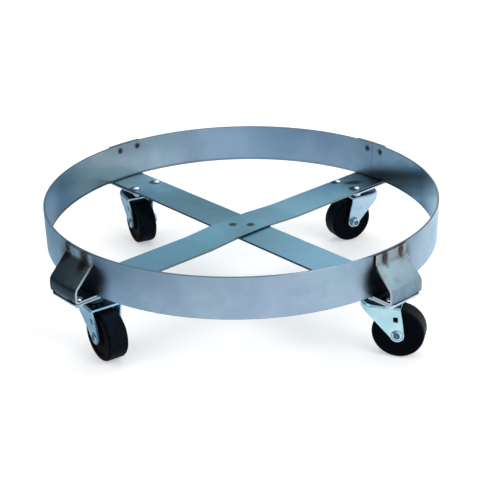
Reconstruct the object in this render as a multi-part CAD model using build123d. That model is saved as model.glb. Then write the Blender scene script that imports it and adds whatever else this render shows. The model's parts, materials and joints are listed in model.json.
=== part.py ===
from build123d import *
import math
import os

# Drum dolly: a rolled steel band standing on two crossed steel strips. Each strip's end turns up outside
# the band as a strap, and carries a swivel caster below. All lengths are millimetres and angles degrees.
# The origin is at floor level under the band's centre. X points right, Y to the back, Z up.

# ---- Ring band ----
RING_BORE = 609.6
RING_WALL = 3.2
RING_HEIGHT = 63.5
SEAM_GAP = 0.6
SEAM_AZIMUTH = 44.2
RING_EDGE_ROUND = 0.4

# ---- Crossbars ----
BAR_WIDTH = 63.5
BAR_THICKNESS = 3.2
LOWER_BAR_AZIMUTH = -45.0
UPPER_BAR_AZIMUTH = 45.0
BOW_FLAT_MARGIN = 4.25
BOW_RUN = 55.0
BOW_BEND_RADIUS = 60.0

# ---- Turned-up strap at each bar end ----
STRAP_BOLT_CLEARANCE = 2.6
STRAP_RISER = 17.0
STRAP_FLANGE = 14.5
STRAP_FOOT_BEND = 3.2
STRAP_KNEE_BEND = 13.0
STRAP_NECK_BEND = 6.0
WELD_GAP = 0.1

# ---- Caster as a whole ----
CASTER_HEIGHT = 101.6
KINGPIN_INSET = 19.0
TRAIL = 32.0
PLATE_END_MARGIN = 11.1
PLATE_THICKNESS = 3.0
PLATE_CORNER = 8.0
PLATE_EDGE_ROUND = 0.7

# ---- Plate bolts ----
BOLT_SPACING_LONG = 82.55
BOLT_SPACING_WIDE = 44.45
BOLT_RADIUS = 3.15
BOLT_HOLE_CLEARANCE = 0.4
BOLT_HEAD_RADIUS = 6.4
BOLT_HEAD_HEIGHT = 3.4
NUT_ACROSS_FLATS = 11.1
NUT_HEIGHT = 5.6
NUT_THREAD_CLEARANCE = 0.05
BOLT_END_STANDOUT = 1.5

# ---- Swivel head: two rows of balls above and below the fork's crown ----
UPPER_BALL_RADIUS = 3.0
UPPER_BALL_CIRCLE = 12.8
UPPER_BALL_COUNT = 10
LOWER_BALL_RADIUS = 2.5
LOWER_BALL_CIRCLE = 10.5
LOWER_BALL_COUNT = 8
BALL_CLEARANCE = 0.05
GROOVE_DEPTH = 1.0
UPPER_RACE_DEPTH = 6.2
UPPER_RACE_RADIUS = 19.0
RACE_WALL_LEAN = 3.0
CROWN_RACE_RISE = 4.3
CROWN_RACE_RADIUS = 17.8
CROWN_RACE_LEAN = 1.8
RACE_EDGE_ROUND = 1.2
RACE_JOINT = 1.0

# ---- Kingpin and lower race ----
KINGPIN_RADIUS = 5.0
KINGPIN_SHOULDER = 6.2
KINGPIN_HEAD_RADIUS = 8.5
KINGPIN_HEAD_HEIGHT = 3.5
KINGPIN_PEEN_RADIUS = 7.4
KINGPIN_PEEN_HEIGHT = 3.0
KINGPIN_CLEARANCE = 0.05
CROWN_HOLE_CLEARANCE = 0.5
LOWER_RACE_THICKNESS = 2.2
LOWER_RACE_RADIUS = 14.6
LOWER_RACE_RIM = 1.3
LOWER_RACE_LIP = 1.6

# ---- Fork ----
FORK_SHEET = 2.8
CROWN_HALF_WIDTH = 25.2
LEG_HALF_WIDTH = 20.8
LEG_KNEE_DROP = 26.0
CROWN_BEND = 4.0
LEG_KNEE_BEND = 25.0
CROWN_TAIL = 36.0
NOSE_DEPTH = 9.0
NOSE_SETBACK = 4.2
SHOULDER_AHEAD = 9.5
SHOULDER_DROP = 17.5
SHOULDER_RADIUS = 24.0
LOBE_RADIUS = 10.2
TOE_AHEAD = 6.7
TOE_DROP = 6.7
NECK_RADIUS = 10.0
WINDOW_WIDTH = 7.0
WINDOW_HEIGHT = 9.0
WINDOW_RISE = 25.5
WINDOW_AHEAD = 2.6

# ---- Axle ----
AXLE_RADIUS = 3.95
AXLE_HOLE_CLEARANCE = 0.1
AXLE_HEAD_RADIUS = 8.0
AXLE_HEAD_HEIGHT = 2.8
AXLE_HEAD_DISH_RADIUS = 4.6
AXLE_HEAD_DISH = 0.9
AXLE_NUT_ACROSS_FLATS = 12.7
AXLE_NUT_HEIGHT = 7.0
AXLE_END_STANDOUT = 1.5
SLEEVE_RADIUS = 5.5
SLEEVE_END_CLEARANCE = 0.05

# ---- Wheel ----
WHEEL_TOP_CLEARANCE = 5.0
WHEEL_WIDTH = 31.75
TREAD_ROUND = 5.0
RIM_DEPTH = 8.5
WEB_RECESS = 2.0
HUB_RADIUS = 13.0
HUB_SIDE_CLEARANCE = 0.6
LINER_WALL = 2.4
LINER_RUNNING_CLEARANCE = 0.05
LINER_SEAT_CLEARANCE = 0.02

# ---- Working margins ----
CUT_MARGIN = 20.0
EDGE_TOLERANCE = 0.1

# ---- Casters: name, azimuth of the bar end, heading from kingpin to axle ----
CASTERS = [
    ("front_right", -45.0, -14.0),
    ("back_right", 45.0, -149.0),
    ("back_left", 135.0, -62.0),
    ("front_left", -135.0, -53.0),
]

# ---- Heights and radii that follow ----
RING_INNER = RING_BORE / 2
RING_OUTER = RING_INNER + RING_WALL
BAR_TOP = CASTER_HEIGHT + BAR_THICKNESS
RING_TOP = BAR_TOP + RING_HEIGHT
KINGPIN_RADIAL = RING_OUTER - KINGPIN_INSET
BOW_FLAT = BAR_WIDTH + 2 * BOW_FLAT_MARGIN
STRAP_INNER = KINGPIN_RADIAL + BOLT_SPACING_LONG / 2 + BOLT_HEAD_RADIUS + STRAP_BOLT_CLEARANCE
STRAP_OUTER = STRAP_INNER + BAR_THICKNESS
PLATE_LENGTH = BOLT_SPACING_LONG + 2 * PLATE_END_MARGIN
PLATE_BOTTOM = CASTER_HEIGHT - PLATE_THICKNESS
UPPER_RACE_BOTTOM = PLATE_BOTTOM - UPPER_RACE_DEPTH
UPPER_RACE_FLOOR = UPPER_RACE_BOTTOM + PLATE_THICKNESS
UPPER_BALL_HEIGHT = UPPER_RACE_BOTTOM + GROOVE_DEPTH - BALL_CLEARANCE - UPPER_BALL_RADIUS
CROWN_RACE_TOP = UPPER_BALL_HEIGHT - UPPER_BALL_RADIUS - BALL_CLEARANCE + GROOVE_DEPTH
CROWN_TOP = CROWN_RACE_TOP - CROWN_RACE_RISE
CROWN_BOTTOM = CROWN_TOP - FORK_SHEET
CROWN_RACE_FLOOR = CROWN_RACE_TOP - FORK_SHEET
LOWER_BALL_HEIGHT = CROWN_RACE_FLOOR + GROOVE_DEPTH - BALL_CLEARANCE - LOWER_BALL_RADIUS
LOWER_RACE_TOP = LOWER_BALL_HEIGHT - LOWER_BALL_RADIUS - BALL_CLEARANCE + GROOVE_DEPTH
LOWER_RACE_BOTTOM = LOWER_RACE_TOP - LOWER_RACE_THICKNESS
LEG_KNEE_HEIGHT = CROWN_TOP - LEG_KNEE_DROP
WHEEL_RADIUS = (CROWN_BOTTOM - WHEEL_TOP_CLEARANCE) / 2
AXLE_HEIGHT = WHEEL_RADIUS
LEG_INNER = LEG_HALF_WIDTH - FORK_SHEET
LINER_BORE = SLEEVE_RADIUS + LINER_RUNNING_CLEARANCE
LINER_RADIUS = LINER_BORE + LINER_WALL
HUB_HALF_LENGTH = LEG_INNER - HUB_SIDE_CLEARANCE


def export(node, shape):
    """Write one named piece."""
    export_step(shape, f"parts/{node}.step")


def upright(radius, height, base=0.0):
    """A cylinder that stands on a base height."""
    return Pos(0, 0, base) * Cylinder(radius, height, align=(Align.CENTER, Align.CENTER, Align.MIN))


def drill(radius, low, high):
    """A round cutter along Z that reaches well past both heights."""
    return upright(radius, high - low + 2 * CUT_MARGIN, low - CUT_MARGIN)


def section(points):
    """A closed outline of (radius, height) points, standing in the XZ plane."""
    return Plane.XZ * make_face(Polyline(*points, close=True))


def copies(piece, places):
    """Separate copies of one solid, as one group."""
    return Compound([(place * piece).solid() for place in places])


def turned(points):
    """A solid of revolution about Z from (radius, height) points."""
    return revolve(section(points), Axis.Z, 360)


def ball_groove(circle, ball, height):
    """The round-bottomed groove that a row of balls runs in."""
    return Pos(0, 0, height) * Torus(circle, ball + BALL_CLEARANCE)


def round_edges(solid, radius, height, reach):
    """Round the circular edges that lie at one height and one distance from the axis."""
    rim = [
        edge
        for edge in solid.edges().filter_by(GeomType.CIRCLE)
        if abs(edge.center().Z - height) < EDGE_TOLERANCE and abs(edge.radius - reach) < EDGE_TOLERANCE
    ]
    return fillet(rim, radius)


# ---- Frame ----
def ring_band():
    """Rolled band with an open butt seam, which one strap covers from outside."""
    band = upright(RING_OUTER, RING_HEIGHT, BAR_TOP) - drill(RING_INNER, BAR_TOP, RING_TOP)
    band = fillet(band.edges().filter_by(GeomType.CIRCLE), RING_EDGE_ROUND)
    seam = Pos(RING_OUTER, 0, 0) * Box(2 * (RING_WALL + CUT_MARGIN), SEAM_GAP, 2 * (RING_TOP + CUT_MARGIN))
    return band - Rot(0, 0, SEAM_AZIMUTH) * seam


def strip(path):
    """Flat strip of the bar's section that follows a path of (distance, height) points."""
    profile = Plane.XZ * trace(path, BAR_THICKNESS)
    return extrude(profile, BAR_WIDTH / 2, both=True)


def strap_end(start):
    """Strap at +X: foot bend, riser, knee, slope, neck and a flange curved to hug the band."""
    middle = CASTER_HEIGHT + BAR_THICKNESS / 2
    riser = STRAP_OUTER - BAR_THICKNESS / 2
    flange = RING_OUTER + WELD_GAP + BAR_THICKNESS / 2
    path = FilletPolyline(
        (start, middle),
        (riser, middle),
        (riser, BAR_TOP + STRAP_RISER),
        (flange, RING_TOP - STRAP_FLANGE),
        (flange, RING_TOP),
        radius=(STRAP_FOOT_BEND, STRAP_KNEE_BEND, STRAP_NECK_BEND),
    )
    profile = Plane.XZ * trace(path, BAR_THICKNESS)
    spread = 2 * math.degrees(math.asin((BAR_WIDTH / 2 + CUT_MARGIN) / start))
    swept = Rot(0, 0, -spread / 2) * revolve(profile, Axis.Z, spread)
    slab = Box(2 * (STRAP_OUTER + CUT_MARGIN), BAR_WIDTH, 2 * (RING_TOP + CUT_MARGIN))
    return swept & slab


def bolt_places():
    """The four bolts of a caster plate, seen from the kingpin, with X along the bar."""
    return GridLocations(BOLT_SPACING_LONG, BOLT_SPACING_WIDE, 2, 2)


def bolt_holes():
    """Cutters for the four bolts, through the bar and the caster plate."""
    return copies(drill(BOLT_RADIUS + BOLT_HOLE_CLEARANCE, PLATE_BOTTOM, BAR_TOP), bolt_places())


def crossbar(bowed):
    """Bar along X with a strap at each end; the upper bar is bowed over the lower one."""
    middle = CASTER_HEIGHT + BAR_THICKNESS / 2
    flat_end = KINGPIN_RADIAL
    if bowed:
        low, high = BOW_FLAT / 2 + BOW_RUN, BOW_FLAT / 2
        crest = middle + BAR_THICKNESS
        path = FilletPolyline(
            (-flat_end, middle),
            (-low, middle),
            (-high, crest),
            (high, crest),
            (low, middle),
            (flat_end, middle),
            radius=BOW_BEND_RADIUS,
        )
    else:
        path = Line((-flat_end, middle), (flat_end, middle))
    bar = strip(path)
    for turn in (0, 180):
        bar += Rot(0, 0, turn) * strap_end(flat_end)
    for turn in (0, 180):
        bar -= Rot(0, 0, turn) * Pos(KINGPIN_RADIAL, 0, 0) * bolt_holes()
    return bar


# ---- Fixed half of a caster, with X along the bar and Z = 0 on the floor ----
def top_plate():
    """Pressed plate: four holes, and an upper race that is dished down in the middle."""
    blank = Box(PLATE_LENGTH, BAR_WIDTH, PLATE_THICKNESS, align=(Align.CENTER, Align.CENTER, Align.MIN))
    blank = fillet(blank.edges().filter_by(Axis.Z), PLATE_CORNER)
    blank = fillet(blank.faces().sort_by(Axis.Z)[-1].edges(), PLATE_EDGE_ROUND)
    plate = Pos(0, 0, PLATE_BOTTOM) * blank
    brim = UPPER_RACE_RADIUS + RACE_WALL_LEAN
    plate -= drill(brim + RACE_JOINT, PLATE_BOTTOM, CASTER_HEIGHT)
    inner = KINGPIN_RADIUS + KINGPIN_CLEARANCE
    dish = turned(
        [
            (inner, UPPER_RACE_BOTTOM),
            (UPPER_RACE_RADIUS, UPPER_RACE_BOTTOM),
            (brim, PLATE_BOTTOM),
            (brim + RACE_JOINT, PLATE_BOTTOM),
            (brim + RACE_JOINT, CASTER_HEIGHT),
            (brim - PLATE_THICKNESS + RACE_JOINT, CASTER_HEIGHT),
            (UPPER_RACE_RADIUS - PLATE_THICKNESS, UPPER_RACE_FLOOR),
            (inner, UPPER_RACE_FLOOR),
        ]
    )
    dish -= ball_groove(UPPER_BALL_CIRCLE, UPPER_BALL_RADIUS, UPPER_BALL_HEIGHT)
    dish = round_edges(dish, RACE_EDGE_ROUND, UPPER_RACE_BOTTOM, UPPER_RACE_RADIUS)
    return plate + dish - bolt_holes()


def domed(radius, height, base):
    """A low domed head on a flat base, with Z up: the top of a large ball."""
    ball = (radius**2 + height**2) / (2 * height)
    blank = upright(radius + CUT_MARGIN, height)
    return Pos(0, 0, base) * (blank & Pos(0, 0, height - ball) * Sphere(ball))


def hex_nut(across_flats, height, bore):
    """Hexagon nut with turned corners, standing on Z = 0."""
    corner = across_flats / math.sqrt(3)
    nut = extrude(RegularPolygon(corner, 6), height)
    rim = across_flats / 2
    turned_off = corner - rim
    cone = turned(
        [
            (0, 0),
            (corner, 0),
            (corner, height - turned_off / 2),
            (rim, height),
            (0, height),
        ]
    )
    return (nut & cone) - drill(bore, 0, height)


def plate_bolts():
    """Four domed bolts, heads on top of the bar."""
    end = PLATE_BOTTOM - NUT_HEIGHT - BOLT_END_STANDOUT
    bolt = upright(BOLT_RADIUS, BAR_TOP - end, end) + domed(BOLT_HEAD_RADIUS, BOLT_HEAD_HEIGHT, BAR_TOP)
    return copies(bolt, bolt_places())


def plate_nuts():
    """Four nuts under the caster plate."""
    nut = hex_nut(NUT_ACROSS_FLATS, NUT_HEIGHT, BOLT_RADIUS + NUT_THREAD_CLEARANCE)
    nut = Pos(0, 0, PLATE_BOTTOM) * Rot(180, 0, 0) * nut
    return copies(nut, bolt_places())


def kingpin():
    """Shouldered rivet: head in the plate's dish, peened end under the lower race."""
    shoulder_top = UPPER_RACE_BOTTOM
    pin = turned(
        [
            (0, LOWER_RACE_BOTTOM),
            (KINGPIN_RADIUS, LOWER_RACE_BOTTOM),
            (KINGPIN_RADIUS, LOWER_RACE_TOP),
            (KINGPIN_SHOULDER, LOWER_RACE_TOP),
            (KINGPIN_SHOULDER, shoulder_top),
            (KINGPIN_RADIUS, shoulder_top),
            (KINGPIN_RADIUS, UPPER_RACE_FLOOR),
            (0, UPPER_RACE_FLOOR),
        ]
    )
    pin += domed(KINGPIN_HEAD_RADIUS, KINGPIN_HEAD_HEIGHT, UPPER_RACE_FLOOR)
    peen = Rot(180, 0, 0) * domed(KINGPIN_PEEN_RADIUS, KINGPIN_PEEN_HEIGHT, 0)
    return pin + Pos(0, 0, LOWER_RACE_BOTTOM) * peen


def lower_race():
    """Cupped washer that holds the lower balls up against the crown."""
    bore = KINGPIN_RADIUS + KINGPIN_CLEARANCE
    cup = turned(
        [
            (bore, LOWER_RACE_BOTTOM),
            (LOWER_RACE_RADIUS, LOWER_RACE_BOTTOM),
            (LOWER_RACE_RADIUS, LOWER_RACE_TOP + LOWER_RACE_LIP),
            (LOWER_RACE_RADIUS - LOWER_RACE_RIM, LOWER_RACE_TOP + LOWER_RACE_LIP),
            (LOWER_RACE_RADIUS - LOWER_RACE_RIM, LOWER_RACE_TOP),
            (bore, LOWER_RACE_TOP),
        ]
    )
    return cup - ball_groove(LOWER_BALL_CIRCLE, LOWER_BALL_RADIUS, LOWER_BALL_HEIGHT)


# ---- Swivelling half of a caster, with X from the kingpin towards the axle ----
def on_axle(shape):
    """Stand a piece made along Z on the axle line, its Z turned to -Y."""
    return Pos(TRAIL, 0, AXLE_HEIGHT) * Rot(90, 0, 0) * shape


def ball_row(circle, radius, height, count):
    """Full row of loose balls on one circle."""
    return Pos(0, 0, height) * copies(Sphere(radius), PolarLocations(circle, count))


def fork_section(half_width, inset, height):
    """Round-nosed channel outline, longer behind than the fork will be. Every nose reaches as far."""
    centre = half_width - CROWN_HALF_WIDTH
    tail = CROWN_TAIL + CUT_MARGIN - centre
    outline = Circle(half_width - inset) + Pos(tail / 2, 0) * Rectangle(tail, 2 * (half_width - inset))
    return Pos(centre, 0, height) * outline


def fork_block(inset, top, bend):
    """Solid channel: widest at the crown, narrowing to parallel legs below the knee."""
    upper = loft(
        [
            fork_section(LEG_HALF_WIDTH, inset, LEG_KNEE_HEIGHT).faces()[0],
            fork_section(CROWN_HALF_WIDTH, inset, top).faces()[0],
        ],
        ruled=True,
    )
    legs = extrude(fork_section(LEG_HALF_WIDTH, inset, 0), LEG_KNEE_HEIGHT)
    block = upper + legs
    for height, radius in ((top, bend), (LEG_KNEE_HEIGHT, LEG_KNEE_BEND - inset)):
        level = block.edges().filter_by(lambda edge: abs(edge.center().Z - height) < EDGE_TOLERANCE)
        block = fillet(level.filter_by(lambda edge: edge.center().X < CROWN_TAIL), radius)
    return block


def leg_outline():
    """Side view of the fork, as (distance behind the kingpin, height)."""
    above = CROWN_TOP + CUT_MARGIN
    ahead = -CROWN_HALF_WIDTH - CUT_MARGIN
    nose = CROWN_TOP - NOSE_DEPTH
    shoulder = Vector(-SHOULDER_AHEAD, CROWN_TOP - SHOULDER_DROP)
    axle = Vector(TRAIL, AXLE_HEIGHT)
    toe = axle - Vector(TOE_AHEAD, TOE_DROP)
    body = make_face(
        Polyline(
            (ahead, above),
            (ahead, nose),
            (NOSE_SETBACK - CROWN_HALF_WIDTH, nose),
            shoulder,
            toe,
            axle + Vector(LOBE_RADIUS, 0),
            (CROWN_TAIL, CROWN_TOP),
            (CROWN_TAIL, above),
            close=True,
        )
    )
    body = fillet(body.vertices().sort_by_distance(shoulder)[0], SHOULDER_RADIUS)
    outline = body + Pos(axle) * Circle(LOBE_RADIUS)
    inside_lobe = math.sqrt(LOBE_RADIUS**2 - TOE_AHEAD**2 - TOE_DROP**2)
    neck = toe + (shoulder - toe).normalized() * inside_lobe
    return fillet(outline.vertices().sort_by_distance(neck)[0], NECK_RADIUS)


def fork():
    """Pressed fork: round crown with its race, two legs, and a window in one leg."""
    shell = fork_block(0, CROWN_TOP, CROWN_BEND)
    shell -= fork_block(FORK_SHEET, CROWN_BOTTOM, CROWN_BEND - FORK_SHEET)
    side = extrude(Plane.XZ * leg_outline(), CROWN_HALF_WIDTH + CUT_MARGIN, both=True)
    shell = shell & side
    foot = CROWN_RACE_RADIUS + CROWN_RACE_LEAN
    shell -= upright(foot, FORK_SHEET + CUT_MARGIN, CROWN_BOTTOM)
    bore = KINGPIN_SHOULDER + CROWN_HOLE_CLEARANCE
    race = turned(
        [
            (bore, CROWN_RACE_FLOOR),
            (CROWN_RACE_RADIUS - FORK_SHEET, CROWN_RACE_FLOOR),
            (foot - FORK_SHEET, CROWN_BOTTOM),
            (foot, CROWN_BOTTOM),
            (foot, CROWN_TOP),
            (CROWN_RACE_RADIUS, CROWN_RACE_TOP),
            (bore, CROWN_RACE_TOP),
        ]
    )
    race -= ball_groove(UPPER_BALL_CIRCLE, UPPER_BALL_RADIUS, UPPER_BALL_HEIGHT)
    race -= ball_groove(LOWER_BALL_CIRCLE, LOWER_BALL_RADIUS, LOWER_BALL_HEIGHT)
    shell += round_edges(race, RACE_EDGE_ROUND, CROWN_RACE_TOP, CROWN_RACE_RADIUS)
    shell -= on_axle(drill(AXLE_RADIUS + AXLE_HOLE_CLEARANCE, -LEG_HALF_WIDTH, LEG_HALF_WIDTH))
    window = Pos(TRAIL - WINDOW_AHEAD, -LEG_HALF_WIDTH, AXLE_HEIGHT + WINDOW_RISE)
    return shell - window * Box(WINDOW_WIDTH, CUT_MARGIN, WINDOW_HEIGHT)


def axle_bolt():
    """Axle bolt with a low dished head on the window side."""
    end = -(LEG_HALF_WIDTH + AXLE_NUT_HEIGHT + AXLE_END_STANDOUT)
    shank = upright(AXLE_RADIUS, LEG_HALF_WIDTH - end, end)
    head = domed(AXLE_HEAD_RADIUS, AXLE_HEAD_HEIGHT, LEG_HALF_WIDTH)
    dish_floor = LEG_HALF_WIDTH + AXLE_HEAD_HEIGHT - AXLE_HEAD_DISH
    return on_axle(shank + (head - upright(AXLE_HEAD_DISH_RADIUS, CUT_MARGIN, dish_floor)))


def axle_nut():
    """Lock nut on the axle bolt's other end."""
    nut = hex_nut(AXLE_NUT_ACROSS_FLATS, AXLE_NUT_HEIGHT, AXLE_RADIUS + NUT_THREAD_CLEARANCE)
    return on_axle(Pos(0, 0, -LEG_HALF_WIDTH) * Rot(180, 0, 0) * nut)


def axle_sleeve():
    """Tube that the bolt clamps between the legs, and the wheel turns on."""
    length = 2 * (LEG_INNER - SLEEVE_END_CLEARANCE)
    sleeve = Cylinder(SLEEVE_RADIUS, length) - Cylinder(AXLE_RADIUS + AXLE_HOLE_CLEARANCE, length)
    return on_axle(sleeve)


def wheel():
    """Hard rubber wheel: rounded tread, shallow web recess and a hub boss."""
    half = WHEEL_WIDTH / 2
    bore = LINER_RADIUS + LINER_SEAT_CLEARANCE
    web = half - WEB_RECESS
    rim = WHEEL_RADIUS - RIM_DEPTH
    quarter = [
        (bore, HUB_HALF_LENGTH),
        (HUB_RADIUS, HUB_HALF_LENGTH),
        (HUB_RADIUS + WEB_RECESS, web),
        (rim - WEB_RECESS, web),
        (rim, half),
        (WHEEL_RADIUS, half),
    ]
    mirrored = [(radius, -height) for radius, height in reversed(quarter)]
    tyre = turned(quarter + mirrored)
    shoulders = tyre.edges().filter_by(GeomType.CIRCLE)
    shoulders = shoulders.filter_by(lambda edge: abs(edge.radius - WHEEL_RADIUS) < EDGE_TOLERANCE)
    return on_axle(fillet(shoulders, TREAD_ROUND))


def wheel_liner():
    """Plain bearing bush pressed into the wheel's hub."""
    liner = Cylinder(LINER_RADIUS, HUB_HALF_LENGTH * 2) - Cylinder(LINER_BORE, HUB_HALF_LENGTH * 2)
    return on_axle(liner)


# ---- The whole dolly ----
os.makedirs("parts", exist_ok=True)
export("ring_band", ring_band())
export("crossbar_lower", Rot(0, 0, LOWER_BAR_AZIMUTH) * crossbar(bowed=False))
export("crossbar_upper", Rot(0, 0, UPPER_BAR_AZIMUTH) * crossbar(bowed=True))

FIXED = {
    "top_plate": top_plate(),
    "plate_bolts": plate_bolts(),
    "plate_nuts": plate_nuts(),
    "kingpin": kingpin(),
    "lower_race": lower_race(),
}
SWIVELLING = {
    "upper_balls": ball_row(UPPER_BALL_CIRCLE, UPPER_BALL_RADIUS, UPPER_BALL_HEIGHT, UPPER_BALL_COUNT),
    "lower_balls": ball_row(LOWER_BALL_CIRCLE, LOWER_BALL_RADIUS, LOWER_BALL_HEIGHT, LOWER_BALL_COUNT),
    "fork": fork(),
    "axle_bolt": axle_bolt(),
    "axle_nut": axle_nut(),
    "axle_sleeve": axle_sleeve(),
    "wheel": wheel(),
    "wheel_liner": wheel_liner(),
}
for corner, azimuth, heading in CASTERS:
    seat = Rot(0, 0, azimuth) * Pos(KINGPIN_RADIAL, 0, 0)
    for node, shape in FIXED.items():
        export(f"{corner}_{node}", seat * shape)
    swivel = Pos(seat.position) * Rot(0, 0, heading)
    for node, shape in SWIVELLING.items():
        export(f"{corner}_{node}", swivel * shape)
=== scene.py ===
import json
import math

import bmesh
import bpy
from mathutils import Matrix, Vector


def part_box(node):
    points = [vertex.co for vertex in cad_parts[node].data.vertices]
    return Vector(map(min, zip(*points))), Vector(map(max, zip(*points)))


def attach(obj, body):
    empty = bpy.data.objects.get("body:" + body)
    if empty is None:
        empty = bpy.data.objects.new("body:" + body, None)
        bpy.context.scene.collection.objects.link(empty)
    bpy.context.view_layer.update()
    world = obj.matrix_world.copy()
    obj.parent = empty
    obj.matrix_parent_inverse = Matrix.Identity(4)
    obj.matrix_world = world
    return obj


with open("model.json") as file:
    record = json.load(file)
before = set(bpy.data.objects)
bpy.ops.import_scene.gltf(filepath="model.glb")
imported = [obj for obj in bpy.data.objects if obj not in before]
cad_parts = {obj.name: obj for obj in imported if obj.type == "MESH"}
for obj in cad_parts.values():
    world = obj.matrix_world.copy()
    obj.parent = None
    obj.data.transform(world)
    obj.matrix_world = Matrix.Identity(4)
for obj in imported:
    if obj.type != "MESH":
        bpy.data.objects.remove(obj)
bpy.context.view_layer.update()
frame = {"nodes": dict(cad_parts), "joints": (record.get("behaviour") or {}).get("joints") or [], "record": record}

# ---- What the CAD model says ----
joints = {joint["name"]: joint for joint in frame["joints"]}
slot_of = {row["node"]: row["material_slot"] for row in frame["record"]["subparts"]}
CORNERS = ("front_right", "back_right", "back_left", "front_left")
OPPOSITE = {
    "front_right": "back_left",
    "back_left": "front_right",
    "back_right": "front_left",
    "front_left": "back_right",
}
SHEET = 0.0032
ring_low, ring_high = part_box("ring_band")
RING_RADIUS = ring_high.x
RING_BORE_RADIUS = RING_RADIUS - SHEET
RING_FOOT = ring_low.z
RING_HEIGHT = ring_high.z - RING_FOOT
STRAP_GAP = 0.0001
FLANGE_RADIUS = RING_RADIUS + STRAP_GAP + SHEET
FLANGE_HEIGHT = 0.0150
NECK_HEIGHT = RING_HEIGHT - FLANGE_HEIGHT
CROSSING_TOP = RING_FOOT + SHEET
BAR_REACH = 0.31
BAR_HALF_WIDTH = 0.03175
# Distances along a bar between which a point comes to count as at the bar's end.
BAR_END_FADE = (0.20, 0.21)
PLATE_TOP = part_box("front_right_top_plate")[1].z
PLATE_BOTTOM = PLATE_TOP - 0.0030
CROWN_RACE_RISE = 0.0043
CROWN_RACE_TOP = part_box("front_right_fork")[1].z
CROWN_TOP = CROWN_RACE_TOP - CROWN_RACE_RISE
BOLT_HEAD_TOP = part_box("front_right_plate_bolts")[1].z
BOLT_HALF_SPACING = (0.041275, 0.022225)
AXLE_HEAD_RADIUS = 0.0080
AXLE_DISH_RADIUS = 0.0046
AXLE_NUT_HALF_HEIGHT = 0.0035
TREAD_EDGE = (0.0362, 0.0379)


def corner_azimuth(corner):
    """Azimuth of a caster's kingpin, in radians."""
    x, y = joints[f"{corner}_swivel"]["pos_m"][:2]
    return math.atan2(y, x)


def kingpin_reach(corner):
    """Distance of a caster's kingpin from the dolly's upright centre line."""
    return math.hypot(*joints[f"{corner}_swivel"]["pos_m"][:2])


# ---- Spot welds: offset along the strap's width and height above the band's foot ----
SPOT_WELDS = {
    "front_right": ((-0.0150, 0.0560), (0.0193, 0.0570)),
    "back_right": ((0.0065, 0.0515), (-0.0230, 0.0520)),
    "back_left": ((0.0110, 0.0525), (-0.0255, 0.0535)),
    "front_left": ((0.0165, 0.0535), (-0.0262, 0.0565)),
}
CROSSING_WELDS = ((-0.0140, 0.0), (0.0140, 0.0))

# ---- At each strap: how far the burnt zone round a weld and the painted shadow on the band beside the strap
# reach, and how dark the painted shade is in the seam under the strap, along the strap's neck and on its top edge
# ----
HEAT_REACH = {"front_right": 0.0094, "back_right": 0.0088, "back_left": 0.0088, "front_left": 0.0138}
SHADOW_REACH = {"front_right": 0.023, "back_right": 0.029, "back_left": 0.029, "front_left": 0.036}
SEAM_DARKNESS = {"front_right": 0.30, "back_right": 1.0, "back_left": 1.0, "front_left": 1.0}
NECK_DARKNESS = {"front_right": 0.5, "back_right": 0.5, "back_left": 0.5, "front_left": 1.0}
CREST_DARKNESS = {"front_right": 1.0, "back_right": 0.45, "back_left": 0.35, "front_left": 1.0}


# ---- Node trees ----
# Values of a noise between which a number wanders, two tones change over, and mill clouds and grain set in.
WANDER = (0.3, 0.7)
CLOUD_EDGE = (0.36, 0.66)
MILL_CLOUDS = (0.38, 0.64)
MILL_GRAIN = (0.42, 0.72)
# Scale of the noise that tatters an edge, and the largest distance that spot_distance gives.
RAGGED_SCALE = 260.0
FARTHEST_SPOT = 1.0


def tone(red, green, blue):
    """A screen colour from 0 to 255 as the linear colour that shaders use."""
    linear = []
    for part in (red / 255, green / 255, blue / 255):
        linear.append(part / 12.92 if part <= 0.04045 else ((part + 0.055) / 1.055) ** 2.4)
    return (*linear, 1.0)


def tint(red, green, blue):
    """A multiplier for a colour."""
    return (red, green, blue, 1.0)


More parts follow.
